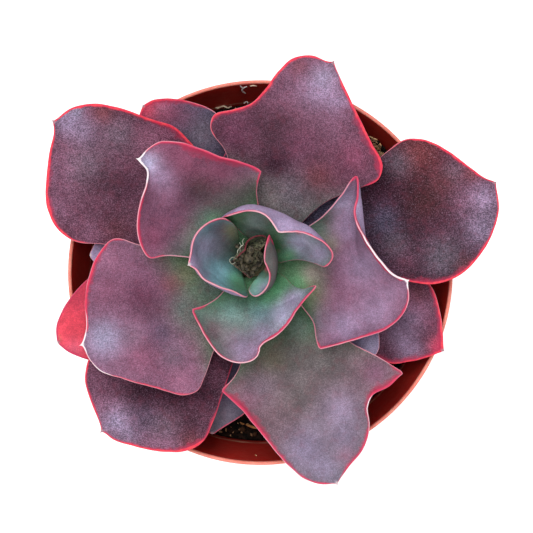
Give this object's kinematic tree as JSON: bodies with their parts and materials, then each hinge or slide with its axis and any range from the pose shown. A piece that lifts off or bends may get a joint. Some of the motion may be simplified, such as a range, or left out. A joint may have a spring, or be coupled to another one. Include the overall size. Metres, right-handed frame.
{
  "type": "potted echeveria",
  "caption": "Echeveria rosette with broad, wavy, pointed mauve leaves with red margins, growing in a round thin-walled terracotta-coloured plastic pot of soil.",
  "frame": {"origin": "centre of the flat underside of the pot", "axes": "+Z up through the pot's axis; +Y is up and +X is right when the plant is seen from above as in the picture"},
  "size_m": [0.1398, 0.1315, 0.129],
  "materials": {
    "pot_plastic": "satin moulded terracotta-coloured plastic",
    "potting_mix": "moist near-black potting mix with bark and perlite",
    "stem_bark": "scarred green-brown stem",
    "withered_heart": "dry, wrinkled",
    "inner_leaf": "satin, blue-green with a waxy bloom and a pink margin",
    "outer_leaf": "satin dark mauve with a mealy waxy bloom and a red margin",
    "red_leaf": "satin red with a paler margin"
  },
  "bodies": {
    "root": {"pot": "pot_plastic", "soil": "potting_mix", "stem": "stem_bark", "heart": "withered_heart", "leaf_heart_folded": "inner_leaf", "leaf_inner_left": "inner_leaf", "leaf_inner_top": "inner_leaf", "leaf_inner_bottom": "inner_leaf", "leaf_upper_left_inner": "outer_leaf", "leaf_right_inner": "outer_leaf", "leaf_left_lower": "outer_leaf", "leaf_top": "outer_leaf", "leaf_bottom": "outer_leaf", "leaf_upper_left": "outer_leaf", "leaf_right_upper": "outer_leaf", "leaf_lower_left": "outer_leaf", "leaf_top_hidden": "outer_leaf", "leaf_right_lower_inner": "outer_leaf", "leaf_left_inner": "outer_leaf", "leaf_right_hidden": "outer_leaf", "leaf_bottom_inner": "outer_leaf", "leaf_top_left": "outer_leaf", "leaf_right_lower": "outer_leaf", "leaf_far_left": "red_leaf"}
  },
  "joints": []
}
